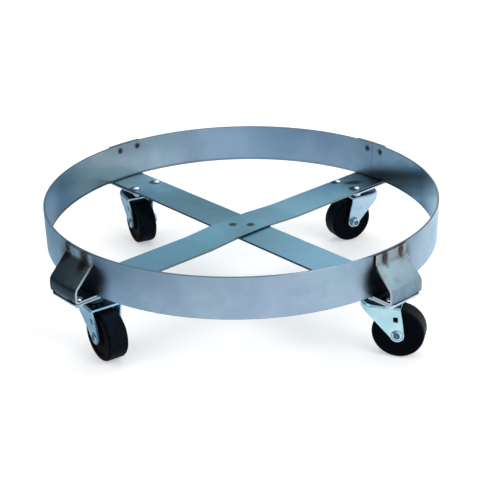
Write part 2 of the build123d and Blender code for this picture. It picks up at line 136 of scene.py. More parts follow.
class Nodes:
    """A node tree under construction. Sockets and plain numbers both serve as inputs."""

    def __init__(self, tree):
        self.tree = tree
        self.tree.nodes.clear()

    def node(self, kind, settings=(), **inputs):
        made = self.tree.nodes.new(kind)
        for key, value in dict(settings).items():
            setattr(made, key, value)
        for key, value in inputs.items():
            self.feed(made.inputs[key.replace("_", " ")], value)
        return made

    def feed(self, socket, value):
        if isinstance(value, bpy.types.NodeSocket):
            self.tree.links.new(value, socket)
        else:
            socket.default_value = value

    def math(self, operation, *values):
        made = self.node("ShaderNodeMath", {"operation": operation})
        for socket, value in zip(made.inputs, values):
            self.feed(socket, value)
        return made.outputs[0]

    def vector_math(self, operation, *vectors):
        made = self.node("ShaderNodeVectorMath", {"operation": operation})
        for socket, vector in zip(made.inputs, vectors):
            self.feed(socket, vector)
        return made.outputs

    def minus(self, first, second):
        return self.math("SUBTRACT", first, second)

    def absolute(self, value):
        """The value without its sign."""
        return self.math("ABSOLUTE", value)

    def larger(self, first, second):
        return self.math("MAXIMUM", first, second)

    def product(self, first, *others):
        for other in others:
            first = self.math("MULTIPLY", first, other)
        return first

    def hypot(self, first, second):
        squares = [self.product(side, side) for side in (first, second)]
        return self.math("SQRT", self.math("ADD", *squares))

    def line(self, value, offset, slope):
        """offset + slope * value."""
        return self.math("MULTIPLY_ADD", value, slope, offset)

    def step(self, value, start, end, low=0.0, high=1.0):
        """Smooth change from low to high while value goes from start to end."""
        made = self.node("ShaderNodeMapRange", {"interpolation_type": "SMOOTHSTEP"})
        for socket, given in zip(made.inputs, (value, start, end, low, high)):
            self.feed(socket, given)
        return made.outputs[0]

    def mix(self, amount, first, second, blend="MIX"):
        made = self.node("ShaderNodeMix", {"data_type": "RGBA", "blend_type": blend})
        self.feed(made.inputs[0], amount)
        self.feed(made.inputs[6], first)
        self.feed(made.inputs[7], second)
        return made.outputs[2]

    def uneven(self, clouds, low, high):
        """A number that wanders between low and high with a noise."""
        return self.step(clouds, *WANDER, low, high)

    def clouded(self, clouds, first, second):
        """Two tones that change over with a noise."""
        return self.mix(self.step(clouds, *CLOUD_EDGE), tone(*first), tone(*second))

    def plainly_seen(self, rays):
        """1 for camera and transmission rays, which see the plain pale backdrop."""
        return self.larger(rays["Is Camera Ray"], rays["Is Transmission Ray"])


class Shader(Nodes):
    """A material with one principled surface and its points in the object's own space."""

    def __init__(self, name, **plain):
        self.material = bpy.data.materials.new(name)
        self.material.use_nodes = True
        super().__init__(self.material.node_tree)
        self.surface = self.node("ShaderNodeBsdfPrincipled", **plain)
        output = self.node("ShaderNodeOutputMaterial")
        self.tree.links.new(self.surface.outputs[0], output.inputs["Surface"])
        self.point = self.node("ShaderNodeTexCoord").outputs["Object"]
        self.axes = self.node("ShaderNodeSeparateXYZ", Vector=self.point).outputs

    def set(self, **inputs):
        for key, value in inputs.items():
            self.feed(self.surface.inputs[key.replace("_", " ")], value)

    def centre_distance(self):
        """Distance from the dolly's upright centre line."""
        return self.hypot(self.axes[0], self.axes[1])

    def height_over_foot(self):
        """Height above the band's foot."""
        return self.minus(self.axes[2], RING_FOOT)

    def combine(self, x, y, z):
        return self.node("ShaderNodeCombineXYZ", X=x, Y=y, Z=z).outputs[0]

    def noise(self, vector, scale, detail=3.0, roughness=0.55):
        made = self.node("ShaderNodeTexNoise", Vector=vector, Scale=scale, Detail=detail, Roughness=roughness)
        return made.outputs[0]

    def ragged(self, distance, reach):
        """A distance with a ragged edge."""
        tatters = self.noise(self.point, RAGGED_SCALE, 2.0)
        return self.math("ADD", distance, self.line(tatters, -0.5 * reach, reach))

    def stain(self, colour, amount, multiplier):
        """The colour times a multiplier, as far as the amount says."""
        return self.mix(amount, colour, multiplier, "MULTIPLY")

    def span(self, value, low, high, stops):
        """A colour ramp whose stops are screen colours at places in the value's own unit."""
        share = self.node("ShaderNodeMapRange", Value=value, From_Min=low, From_Max=high).outputs[0]
        made = self.node("ShaderNodeValToRGB", Fac=share)
        elements = made.color_ramp.elements
        while len(elements) < len(stops):
            elements.new(1.0)
        for element, (place, shade) in zip(elements, stops):
            element.position = (place - low) / (high - low)
            element.color = tone(*shade)
        return made.outputs[0]

    def bump(self, height, distance, strength=1.0, normal=None):
        made = self.node("ShaderNodeBump", Height=height, Distance=distance, Strength=strength)
        if normal is not None:
            self.feed(made.inputs["Normal"], normal)
        return made.outputs[0]

    def along(self, first, second, angle):
        """Distances along and across a line that leans by an angle from the first axis to the second."""
        cosine, sine = math.cos(angle), math.sin(angle)
        along = self.math("ADD", self.product(first, cosine), self.product(second, sine))
        across = self.minus(self.product(second, cosine), self.product(first, sine))
        return along, across

    def spot_distance(self, first, second, spots, stretch=1.0):
        """Distance to the nearest of a few spots in a plane, with the second axis stretched."""
        nearest = FARTHEST_SPOT
        for first_centre, second_centre in spots:
            sideways = self.minus(first, first_centre)
            upward = self.product(self.minus(second, second_centre), 1.0 / stretch)
            nearest = self.math("MINIMUM", nearest, self.hypot(sideways, upward))
        return nearest


# ---- Band ----
# Tones of the band by azimuth in degrees, on the outer and the inner wall: painted reflection and shade round the
# band.
OUTER_TONES = (
    (-180, (190, 240, 255)),
    (-154, (184, 232, 255)),
    (-121, (178, 212, 235)),
    (-109, (191, 217, 239)),
    (-99, (188, 214, 234)),
    (-77, (179, 205, 223)),
    (-62, (168, 196, 211)),
    (-33, (154, 184, 203)),
    (0, (191, 231, 250)),
    (90, (170, 197, 216)),
    (180, (190, 240, 255)),
)
INNER_TONES = (
    (-180, (150, 190, 224)),
    (-90, (166, 192, 210)),
    (0, (206, 250, 255)),
    (8, (174, 218, 242)),
    (16, (128, 171, 197)),
    (24, (152, 192, 216)),
    (50, (172, 206, 230)),
    (79, (172, 210, 232)),
    (92, (186, 222, 241)),
    (112, (170, 199, 219)),
    (123, (180, 205, 222)),
    (143, (198, 216, 227)),
    (156, (184, 212, 223)),
    (168, (137, 179, 202)),
    (180, (150, 190, 224)),
)
# Painted shade where the band and the bars meet.
CONTACT_SHADE = tint(0.10, 0.12, 0.14)


class BandShader(Shader):
    """The band's material, which knows azimuth, height, and which of the two walls a point is on."""

    def __init__(self, name):
        super().__init__(name, Metallic=1.0, Anisotropic=0.45)
        self.degrees = self.math("DEGREES", self.math("ARCTAN2", self.axes[1], self.axes[0]))
        self.radius = self.centre_distance()
        self.height = self.height_over_foot()
        self.outside = self.step(self.radius, RING_RADIUS - 0.0020, RING_RADIUS - 0.0012)
        self.inside = self.minus(1.0, self.outside)


def band_finish(band, grain, clouds):
    """The two walls' tones, with their painted reflection and shade, under mill clouds and grain."""
    outer = band.span(band.degrees, -180, 180, OUTER_TONES)
    inner = band.span(band.degrees, -180, 180, INNER_TONES)
    colour = band.mix(band.outside, inner, outer)
    broad = band.noise(band.point, 4.2, 2.0, 0.5)
    colour = band.stain(colour, band.step(clouds, *MILL_CLOUDS), tint(0.86, 0.89, 0.91))
    colour = band.stain(colour, band.step(broad, 0.44, 0.64), tint(0.94, 0.90, 0.95))
    return band.stain(colour, band.step(grain, *MILL_GRAIN), tint(0.92, 0.93, 0.94))


def band_shades(band, colour):
    """Painted shade: the outer wall darker upwards, the inner wall darker higher up round the back left strap, and
    a dark line inside at the foot.
    """
    # Painted shade: the outer wall darker towards the top.
    shaded_top = band.product(band.outside, band.step(band.height, 0.012, 0.058))
    colour = band.stain(colour, shaded_top, tint(0.88, 0.90, 0.90))
    # Painted shade: the inner wall darker higher up round the back left strap.
    shaded_upper_inside = band.product(
        band.inside,
        band.step(band.height, 0.022, 0.060),
        band.step(band.degrees, 106.0, 132.0),
        band.step(band.degrees, 172.0, 158.0),
    )
    colour = band.stain(colour, shaded_upper_inside, tint(0.68, 0.71, 0.74))
    # Painted shade: a dark line inside at the foot.
    foot_shade = band.product(
        band.inside,
        band.step(band.height, 0.0056, 0.0022),
        band.step(band.degrees, 60.0, 150.0, 0.30, 0.90),
    )
    return band.stain(colour, foot_shade, tint(0.34, 0.38, 0.41))


def band_at_strap(band, colour, corner):
    """Heat round the welds, a painted shadow beside the strap, and painted contact shade where the band stands on
    the bar.
    """
    along, across = band.along(band.axes[0], band.axes[1], corner_azimuth(corner))
    off_centre = band.absolute(across)
    here = band.step(along, *BAR_END_FADE)
    spots = band.spot_distance(across, band.height, SPOT_WELDS[corner])
    heat = band.step(band.ragged(spots, 0.004), 0.0085, 0.0034)
    colour = band.stain(colour, band.product(here, heat), tint(0.46, 0.42, 0.42))
    # Painted shadow on the outer wall beside the strap, stronger low down.
    beside = band.step(off_centre, BAR_HALF_WIDTH + SHADOW_REACH[corner], BAR_HALF_WIDTH + 0.003)
    lower = band.step(band.height, 0.064, 0.040, 0.35, 1.0)
    strap_shadow = band.product(here, band.outside, beside, lower)
    colour = band.stain(colour, strap_shadow, tint(0.25, 0.23, 0.22))
    # Painted contact shade at the band's foot over the bar.
    foot = band.product(
        band.step(band.height, 0.0016, 0.0006),
        band.step(off_centre, BAR_HALF_WIDTH + 0.002, BAR_HALF_WIDTH),
    )
    return band.stain(colour, band.product(here, foot), CONTACT_SHADE)


def band_dark_reflection(band, colour):
    """Painted dark reflection inside the band: it rises rightwards from the back right strap's foot, and fades."""
    upper_reach = band.minus(band.height, band.line(band.degrees, 0.081, -0.0016))
    lower_reach = band.minus(band.height, band.line(band.degrees, 0.048, -0.0020))
    # Painted dark reflection on the inner wall.
    dark_reflection = band.product(
        band.inside,
        band.step(band.ragged(upper_reach, 0.006), 0.009, -0.007),
        band.step(lower_reach, -0.007, 0.006),
        band.step(band.degrees, 52.0, 45.0),
        band.step(band.degrees, 4.0, 32.0, 0.26, 0.86),
    )
    return band.stain(colour, dark_reflection, tint(0.30, 0.24, 0.20))


def band_edges(band, colour):
    """Darker top edge, hardly darker along one stretch of the front, and painted shade along the bottom edge."""
    # A stretch of the front where the top edge is hardly darker.
    lighter_stretch = band.product(
        band.step(band.degrees, -82.0, -70.0),
        band.step(band.degrees, -52.0, -56.0),
    )
    top_edge = band.product(
        band.step(band.height, RING_HEIGHT - 0.0008, RING_HEIGHT - 0.0003),
        band.line(lighter_stretch, 1.0, -0.85),
    )
    # The top edge darker, and painted shade along the bottom edge.
    edge = band.larger(top_edge, band.step(band.height, 0.0008, 0.0003))
    return band.stain(colour, edge, tint(0.42, 0.43, 0.44))


def band_steel():
    """Rolled strip of the band: fine grain round the band, cloudy mill finish, heat scale and painted shadow at
    the straps, painted reflection and shade in its tones.
    """
    band = BandShader("band_steel")
    streaks = band.combine(
        band.product(band.degrees, 0.060),
        band.product(band.height, 1500.0),
        band.product(band.radius, 60.0),
    )
    grain = band.noise(streaks, 1.0, 4.0, 0.6)
    clouds = band.noise(band.point, 15.0, 5.0, 0.6)
    colour = band_finish(band, grain, clouds)
    colour = band_shades(band, colour)
    for corner in CORNERS:
        colour = band_at_strap(band, colour, corner)
    colour = band_dark_reflection(band, colour)
    colour = band_edges(band, colour)
    roughness = band.math("ADD", band.uneven(clouds, 0.26, 0.36), band.product(grain, 0.05))
    tangent = band.node("ShaderNodeTangent", {"direction_type": "RADIAL", "axis": "Z"}).outputs[0]
    normal = band.bump(grain, 0.00004, 0.35)
    normal = band.bump(band.noise(band.point, 90.0, 2.0), 0.00025, 0.25, normal)
    band.set(Base_Color=colour, Roughness=roughness, Normal=normal, Tangent=tangent)
    return band.material


# ---- Bars ----
# Tones along each bar, by the distance from the centre towards its named corner, with painted shade and reflection
# along the bar.
LOWER_BAR_TONES = (
    (-0.31, (136, 160, 164)),
    (-0.26, (124, 152, 160)),
    (-0.22, (104, 139, 150)),
    (-0.14, (112, 158, 172)),
    (0.04, (128, 175, 194)),
    (0.16, (150, 199, 225)),
    (0.31, (142, 188, 210)),
)
UPPER_BAR_TONES = (
    (-0.31, (112, 160, 180)),
    (-0.14, (118, 170, 191)),
    (0.02, (128, 178, 198)),
    (0.12, (150, 200, 220)),
    (0.21, (144, 190, 206)),
    (0.245, (122, 152, 160)),
    (0.275, (114, 131, 135)),
    (0.31, (106, 114, 117)),
)
# Tones of each strap's foot, riser, slope and flange, with painted shade and reflection that differ by corner.
STRAP_TONES = {
    "front_right": ((114, 136, 154), (126, 150, 168), (150, 175, 186), (150, 165, 178)),
    "back_right": ((134, 166, 182), (134, 166, 182), (126, 158, 172), (132, 156, 166)),
    "back_left": ((134, 166, 182), (134, 166, 182), (126, 158, 172), (132, 156, 166)),
    "front_left": ((124, 154, 174), (74, 94, 108), (80, 94, 101), (184, 220, 234)),
}
STRAP_EDGE_TONE = (200, 210, 214)
SHADED_EDGE = tint(0.20, 0.22, 0.24)
# How far the painted shadow round the bolt heads is shifted, and the distances over which it fades.
BOLT_SHADOW_SHIFT = 0.0042
BOLT_SHADOW_RIM = (0.0112, 0.0086)
# The dark oval on the upper bar: its centre, lean and slimness.
DARK_OVAL_CENTRE = (0.2630, 0.0015)
DARK_OVAL_LEAN = math.radians(-29)
DARK_OVAL_SLIMNESS = 0.55


class BarShader(Shader):
    """A flat bar's material, which knows the distances along and across the bar from the dolly's centre."""

    def __init__(self, corner):
        super().__init__(f"bar_steel_{corner}", Metallic=1.0, Anisotropic=0.35)
        self.azimuth = corner_azimuth(corner)
        self.ends = ((1.0, corner), (-1.0, OPPOSITE[corner]))
        self.along_bar, self.across_bar = self.along(self.axes[0], self.axes[1], self.azimuth)
        self.radius = self.centre_distance()
        self.height = self.height_over_foot()
        self.beyond = self.step(self.radius, RING_RADIUS - 0.0010, RING_RADIUS)
        self.on_top = self.step(self.height, 0.0040, 0.0010)

    def on_strap(self, side):
        """1 on the strap at one end."""
        return self.product(self.beyond, self.step(self.product(self.along_bar, side), *BAR_END_FADE))


def strap_colour(bar, colour, side, name):
    """A strap's tones from foot to flange, with painted shade and reflection."""
    foot, riser, slope, flange = STRAP_TONES[name]
    strap = bar.mix(bar.step(bar.height, 0.0, 0.0080), tone(*foot), tone(*riser))
    strap = bar.mix(bar.step(bar.height, 0.0120, 0.0360), strap, tone(*slope))
    above_neck = bar.step(bar.height, NECK_HEIGHT - 0.0020, NECK_HEIGHT + 0.0020)
    strap = bar.mix(above_neck, strap, tone(*flange))
    return bar.mix(bar.on_strap(side), colour, strap)


def strap_wear(bar, colour, side, name):
    """Heat round a strap's welds, painted shade along the bend of its neck, and brownish smudges."""
    here = bar.on_strap(side)
    welds = [(side * place, level) for place, level in SPOT_WELDS[name]]
    spots = bar.spot_distance(bar.across_bar, bar.height, welds, 1.7)
    heat = bar.step(bar.ragged(spots, 0.005), HEAT_REACH[name], 0.4 * HEAT_REACH[name])
    colour = bar.stain(colour, bar.product(here, heat), tint(0.24, 0.17, 0.15))
    # Painted shade along the bend at the strap's neck.
    neck = bar.absolute(bar.minus(bar.height, NECK_HEIGHT))
    neck = bar.step(bar.ragged(neck, 0.008), 0.0040, 0.0004)
    neck = bar.product(here, neck, NECK_DARKNESS[name])
    colour = bar.stain(colour, neck, tint(0.55, 0.54, 0.48))
    drawn_out = bar.combine(bar.along_bar, bar.across_bar, bar.product(bar.height, 0.5))
    smudges = bar.step(bar.noise(drawn_out, 60.0), 0.48, 0.66)
    return bar.stain(colour, bar.product(here, smudges), tint(0.86, 0.81, 0.76))


def bolt_shadow(bar, colour, side, name):
    """Painted shadow on the bar's top round a caster's bolt heads, shifted towards -X."""
    shift_along = -BOLT_SHADOW_SHIFT * math.cos(bar.azimuth)
    shift_across = BOLT_SHADOW_SHIFT * math.sin(bar.azimuth)
    bolts = []
    for reach in (-1, 1):
        for offset in (-1, 1):
            place = side * kingpin_reach(name) + reach * BOLT_HALF_SPACING[0] + shift_along
            bolts.append((place, offset * BOLT_HALF_SPACING[1] + shift_across))
    # Painted shadow round the bolt heads.
    rim = bar.step(bar.spot_distance(bar.along_bar, bar.across_bar, bolts), *BOLT_SHADOW_RIM)
    return bar.stain(colour, bar.product(rim, bar.on_top), tint(0.06, 0.11, 0.13))


def upper_bar_marks(bar, colour):
    """A leaning dark oval between the back right caster's bolts, and heat round the crossing's welds."""
    first = bar.minus(bar.along_bar, DARK_OVAL_CENTRE[0])
    second = bar.minus(bar.across_bar, DARK_OVAL_CENTRE[1])
    lengthways, sideways = bar.along(first, second, DARK_OVAL_LEAN)
    dark_oval = bar.hypot(bar.product(lengthways, DARK_OVAL_SLIMNESS), sideways)
    dark_oval = bar.step(bar.ragged(dark_oval, 0.006), 0.0122, 0.0050)
    colour = bar.stain(colour, bar.product(dark_oval, bar.on_top), tint(0.05, 0.11, 0.14))
    spots = bar.spot_distance(bar.axes[0], bar.axes[1], CROSSING_WELDS)
    heat = bar.step(bar.ragged(spots, 0.004), 0.0098, 0.0046)
    return bar.stain(colour, heat, tint(0.50, 0.52, 0.50))


def lower_cut_edge(bar):
    """Tone of the lower bar's sheared edges, with painted shade on one side of the front right strap from its neck
    up.
    """
    edge_tone = bar.mix(bar.beyond, tone(66, 86, 98), tone(*STRAP_EDGE_TONE))
    # Painted shade on the strap's edge from its neck up, on one side.
    painted_edge_shade = bar.product(
        bar.step(bar.height, NECK_HEIGHT - 0.0070, NECK_HEIGHT - 0.0010),
        bar.step(bar.along_bar, *BAR_END_FADE),
        bar.step(bar.across_bar, 0.0, -0.0010),
    )
    return bar.mix(painted_edge_shade, edge_tone, tone(34, 38, 44))


def upper_cut_edge(bar):
    """Tone of the upper bar's sheared edges, with painted shade low down over the back right plate and at the
    crossing.
    """
    # Painted shade on the edge low down over the back right plate.
    shaded_over_plate = bar.product(
        bar.step(bar.along_bar, 0.225, 0.240),
        bar.step(bar.height, -0.0006, -0.0012),
    )
    edge_tone = bar.mix(shaded_over_plate, tone(108, 132, 142), tone(26, 32, 38))
    # Painted shade on the edge at the crossing.
    crossing = bar.product(
        bar.step(bar.absolute(bar.along_bar), BAR_HALF_WIDTH + 0.0010, BAR_HALF_WIDTH),
        bar.step(bar.height, 0.0030, 0.0018),
    )
    edge_tone = bar.mix(crossing, edge_tone, tone(40, 58, 68))
    return bar.mix(bar.beyond, edge_tone, tone(*STRAP_EDGE_TONE))


def bar_finish(bar, colour, grain, clouds):
    """Mill clouds and grain, and a painted contact shade line where the band stands on the bar."""
    colour = bar.stain(colour, bar.step(clouds, *MILL_CLOUDS), tint(0.86, 0.88, 0.90))
    colour = bar.stain(colour, bar.step(grain, *MILL_GRAIN), tint(0.90, 0.92, 0.93))
    # Painted contact shade where the band stands on the bar.
    from_wall = bar.absolute(bar.minus(bar.radius, RING_RADIUS - SHEET / 2))
    contact_shade = bar.product(
        bar.step(from_wall, SHEET / 2 + 0.0018, SHEET / 2 + 0.0006),
        bar.step(bar.height, 0.0030, 0.0010),
    )
    return bar.stain(colour, contact_shade, CONTACT_SHADE)


def strap_rims(bar, colour):
    """Painted shade lines on the straps' lowest and highest edges."""
    seam = bar.step(bar.height, -SHEET + 0.0009, -SHEET + 0.0005)
    crest = bar.step(bar.height, RING_HEIGHT - 0.0006, RING_HEIGHT - 0.0002)
    for side, name in bar.ends:
        here = bar.on_strap(side)
        colour = bar.stain(colour, bar.product(here, seam, SEAM_DARKNESS[name]), SHADED_EDGE)
        colour = bar.stain(colour, bar.product(here, crest, CREST_DARKNESS[name]), SHADED_EDGE)
    return colour


def bar_steel(corner, tones, cut_edge, own_marks=None):
    """Flat bar along one pair of corners: long grain, sheared edges, painted shade and reflection in its tones,
    heat scale on the straps.
    """
    bar = BarShader(corner)
    streaks = bar.combine(
        bar.product(bar.along_bar, 12.0),
        bar.product(bar.across_bar, 1300.0),
        bar.product(bar.axes[2], 1300.0),
    )
    grain = bar.noise(streaks, 1.0, 4.0, 0.6)
    clouds = bar.noise(bar.point, 19.0, 5.0, 0.6)
    colour = bar.span(bar.along_bar, -BAR_REACH, BAR_REACH, tones)
    for side, name in bar.ends:
        colour = strap_colour(bar, colour, side, name)
        colour = strap_wear(bar, colour, side, name)
        colour = bolt_shadow(bar, colour, side, name)
    if own_marks:
        colour = own_marks(bar, colour)
    colour = bar_finish(bar, colour, grain, clouds)
    edge = bar.step(bar.absolute(bar.across_bar), BAR_HALF_WIDTH - 0.0004, BAR_HALF_WIDTH - 0.0001)
    colour = bar.mix(edge, colour, cut_edge(bar))
    colour = strap_rims(bar, colour)
    roughness = bar.math("ADD", bar.uneven(clouds, 0.25, 0.35), bar.product(grain, 0.05))
    bar.set(Base_Color=colour, Roughness=roughness, Normal=bar.bump(grain, 0.00005, 0.4))
    return bar.material


# ---- Casters ----
# Light and dark tones of each fork's plating; they differ by corner as painted light and shade.
FORK_TONES = {
    "front_right": ((212, 250, 255), (194, 238, 252)),
    "back_right": ((190, 220, 238), (172, 206, 228)),
    "back_left": ((176, 224, 246), (152, 200, 226)),
    "front_left": ((186, 234, 255), (154, 208, 242)),
}


def plated(name, light, dark, smoothest, roughest):
    """Bright zinc plating with faint clouds and pressing ripples: its shader and the colour so far."""
    shader = Shader(name, Metallic=1.0)
    clouds = shader.noise(shader.point, 42.0, 4.0, 0.6)
    specks = shader.noise(shader.point, 1500.0, 2.0, 0.5)
    colour = shader.clouded(clouds, dark, light)
    colour = shader.stain(colour, shader.step(specks, 0.60, 0.76), tint(0.86, 0.90, 0.93))
    normal = shader.bump(shader.noise(shader.point, 140.0, 2.0), 0.0002, 0.2)
    normal = shader.bump(specks, 0.00003, 0.3, normal)
    shader.set(Roughness=shader.uneven(clouds, smoothest, roughest), Normal=normal)
    return shader, colour


def plain_plating(name, light, dark, smoothest, roughest):
    """Plating with nothing else on it."""
    shader, colour = plated(name, light, dark, smoothest, roughest)
    shader.set(Base_Color=colour)
    return shader.material


def plate_zinc(corner):
    """Caster plate: painted shade in the seam under the bar and round the dished race."""
    shader, colour = plated(f"plate_zinc_{corner}", (206, 226, 238), (184, 210, 228), 0.20, 0.32)
    level = shader.axes[2]
    # Painted shade in the seam under the bar and round the dished race.
    seam = shader.step(level, PLATE_TOP - 0.0011, PLATE_TOP - 0.0007, 0.0, SEAM_DARKNESS[corner])
    race_shade = shader.product(
        shader.step(level, PLATE_BOTTOM - 0.0002, PLATE_BOTTOM - 0.0007),
        shader.step(level, CROWN_RACE_TOP + 0.0043, CROWN_RACE_TOP + 0.0050),
    )
    colour = shader.stain(colour, shader.larger(seam, race_shade), tint(0.05, 0.06, 0.08))
    shader.set(Base_Color=colour)
    return shader.material


def axle_distance(shader, corner):
    """Distance from a wheel's axle line."""
    spin = joints[f"{corner}_wheel_spin"]
    offset = shader.vector_math("SUBTRACT", shader.point, spin["pos_m"])["Vector"]
    turned = shader.vector_math("CROSS_PRODUCT", offset, spin["axis"])["Vector"]
    return shader.vector_math("LENGTH", turned)["Value"]


def fork_zinc(corner):
    """Swivel fork: painted shade on the race of its crown, and a painted shade line round the axle's ends."""
    light, dark = FORK_TONES[corner]
    shader, colour = plated(f"fork_zinc_{corner}", light, dark, 0.20, 0.32)
    level = shader.axes[2]
    # Painted shade on the race of the crown, under the plate.
    crown_shade = shader.product(
        shader.step(level, CROWN_TOP - 0.0004, CROWN_TOP - 0.0001),
        shader.step(level, CROWN_RACE_TOP - 0.0001, CROWN_RACE_TOP - 0.0006),
    )
    colour = shader.stain(colour, crown_shade, tint(0.05, 0.06, 0.07))
    distance = axle_distance(shader, corner)
    # Painted shade round the axle's ends.
    rim = shader.step(distance, AXLE_HEAD_RADIUS + 0.0011, AXLE_HEAD_RADIUS + 0.0004)
    colour = shader.stain(colour, shader.product(rim, 0.8), tint(0.20, 0.28, 0.34))
    shader.set(Base_Color=colour, Metallic=0.78)
    return shader.material


def plate_bolt_zinc():
    """Plate bolts: bright crown of the head over a skirt with painted shade inside the band."""
    shader, colour = plated("plate_bolt_zinc", (226, 240, 248), (206, 226, 238), 0.14, 0.24)
    level = shader.axes[2]
    # Painted shade on the head's skirt inside the band.
    skirt_shade = shader.product(
        shader.step(level, BOLT_HEAD_TOP - 0.0016, BOLT_HEAD_TOP - 0.0028),
        shader.step(level, RING_FOOT - 0.0002, RING_FOOT),
        shader.step(shader.centre_distance(), RING_BORE_RADIUS, RING_BORE_RADIUS - 0.0100),
    )
    colour = shader.stain(colour, skirt_shade, tint(0.10, 0.13, 0.16))
    shader.set(Base_Color=colour, Metallic=0.75)
    return shader.material


def axle_bolt_zinc(corner):
    """Axle bolt: painted shade in the dish of its head and along the head's rim."""
    shader, colour = plated(f"axle_bolt_zinc_{corner}", (206, 232, 246), (184, 214, 232), 0.18, 0.28)
    distance = axle_distance(shader, corner)
    # Painted shade in the dish of the head.
    dish = shader.product(
        shader.step(distance, AXLE_DISH_RADIUS + 0.0008, AXLE_DISH_RADIUS - 0.0004),
        shader.step(distance, 0.0006, 0.0024, 0.80, 1.0),
    )
    colour = shader.stain(colour, shader.product(dish, 0.95), tint(0.05, 0.12, 0.16))
    # Painted shade along the head's rim.
    rim = shader.step(distance, AXLE_HEAD_RADIUS - 0.0009, AXLE_HEAD_RADIUS - 0.0003)
    colour = shader.stain(colour, shader.product(rim, 0.8), tint(0.30, 0.40, 0.46))
    shader.set(Base_Color=colour)
    return shader.material


def wheel_rubber(corner):
    """Moulded hard rubber: dull black sides, and a scuffed tread with a painted bluish sheen."""
    shader = Shader(
        f"wheel_rubber_{corner}", Metallic=0.0, Specular_IOR_Level=0.07, Specular_Tint=tone(160, 210, 255)
    )
    fine = shader.noise(shader.point, 700.0, 3.0, 0.6)
    clouds = shader.noise(shader.point, 60.0, 4.0, 0.6)
    colour = shader.mix(shader.step(clouds, 0.35, 0.7), tone(2, 2, 4), tone(5, 5, 8))
    tread = shader.step(axle_distance(shader, corner), *TREAD_EDGE)
    # Painted bluish sheen on the tread.
    painted_sheen = shader.product(tread, shader.step(clouds, 0.34, 0.66, 0.25, 1.0))
    colour = shader.mix(painted_sheen, colour, tone(10, 18, 24))
    scuff = shader.product(tread, shader.step(fine, 0.46, 0.66), 0.16)
    colour = shader.mix(scuff, colour, tone(26, 36, 44))
    roughness = shader.math("ADD", shader.uneven(clouds, 0.54, 0.64), shader.product(tread, -0.11))
    shader.set(Base_Color=colour, Roughness=roughness, Normal=shader.bump(fine, 0.00008, 0.35))
    return shader.material


def bush_bronze():
    """Sintered bearing bronze with dark pores."""
    shader = Shader("bearing_bronze", Metallic=1.0)
    pores = shader.noise(shader.point, 1500.0, 2.0, 0.5)
    colour = shader.mix(shader.step(pores, 0.55, 0.7), tone(176, 146, 100), tone(96, 76, 48))
    roughness = shader.uneven(pores, 0.35, 0.55)
    shader.set(Base_Color=colour, Roughness=roughness, Normal=shader.bump(pores, 0.00004, 0.4))
    return shader.material


def weld_scale(name, light, dark):
    """Burnt steel of a spot-weld mark."""
    shader = Shader(name, Metallic=0.6)
    burnt = shader.noise(shader.point, 1100.0, 4.0, 0.65)
    colour = shader.clouded(burnt, light, dark)
    roughness = shader.uneven(burnt, 0.42, 0.62)
    shader.set(Base_Color=colour, Roughness=roughness, Normal=shader.bump(burnt, 0.00012, 0.7))
    return shader.material


def lock_nylon():
    """Milky nylon of the lock nuts' rings."""
    shader = Shader("lock_nylon", Specular_IOR_Level=0.4)
    clouds = shader.noise(shader.point, 900.0, 3.0, 0.6)
    colour = shader.clouded(clouds, (214, 216, 208), (190, 192, 184))
    roughness = shader.uneven(clouds, 0.38, 0.52)
    shader.set(Base_Color=colour, Roughness=roughness, Normal=shader.bump(clouds, 0.00004, 0.4))
    return shader.material


# ---- Materials on the CAD model's nodes: some nodes have their own, the others share their slot's ----
fastener_zinc = plain_plating("fastener_zinc", (214, 232, 242), (188, 212, 228), 0.16, 0.28)
SHARED = {
    "band_steel": band_steel(),
    "caster_zinc": plain_plating("caster_zinc", (208, 230, 243), (186, 214, 232), 0.20, 0.32),
    "fastener_zinc": fastener_zinc,
    "ball_steel": plain_plating("ball_steel", (206, 208, 210), (196, 200, 204), 0.08, 0.14),
    "bearing_bronze": bush_bronze(),
}
OWN = {
    "crossbar_lower": bar_steel("front_right", LOWER_BAR_TONES, lower_cut_edge),
    "crossbar_upper": bar_steel("back_right", UPPER_BAR_TONES, upper_cut_edge, upper_bar_marks),
}
bolt_material = plate_bolt_zinc()
for corner in CORNERS:
    OWN[f"{corner}_wheel"] = wheel_rubber(corner)
    OWN[f"{corner}_fork"] = fork_zinc(corner)
    OWN[f"{corner}_axle_bolt"] = axle_bolt_zinc(corner)
    OWN[f"{corner}_top_plate"] = plate_zinc(corner)
    OWN[f"{corner}_plate_bolts"] = bolt_material
for name, node in frame["nodes"].items():
    material = OWN.get(name) or SHARED[slot_of[name]]
    node.data.materials.clear()
    node.data.materials.append(material)

# ---- Turned pieces: weld marks and lock collars ----
TURNED_SIDES = 24
MERGE_DISTANCE = 0.00001


def lathe(mesh, place, profile, material_index):
    """Adds a surface of revolution about a place's Z from (radius, height) points."""
    rings = []
    for radius, height in profile:
        ring = []
        for index in range(TURNED_SIDES):
            turn = 2 * math.pi * index / TURNED_SIDES
            point = Vector((radius * math.cos(turn), radius * math.sin(turn), height))
            ring.append(mesh.verts.new(place @ point))
        rings.append(ring)
    for low, high in zip(rings, rings[1:]):
        for index in range(TURNED_SIDES):
            after = (index + 1) % TURNED_SIDES
            face = mesh.faces.new((low[index], high[index], high[after], low[after]))
            face.material_index = material_index
            face.smooth = True


def turned_piece(name, places, profiles, materials):
    """A piece made of the same few turned surfaces at each place, one material for each surface."""
    work = bmesh.new()
    for place in places:
        for index, profile in enumerate(profiles):
            lathe(work, place, profile, index)
    bmesh.ops.remove_doubles(work, verts=work.verts, dist=MERGE_DISTANCE)
    mesh = bpy.data.meshes.new(name)
    work.to_mesh(mesh)
    work.free()
    for material in materials:
        mesh.materials.append(material)
    piece = bpy.data.objects.new(name, mesh)
    bpy.context.scene.collection.objects.link(piece)
    return piece


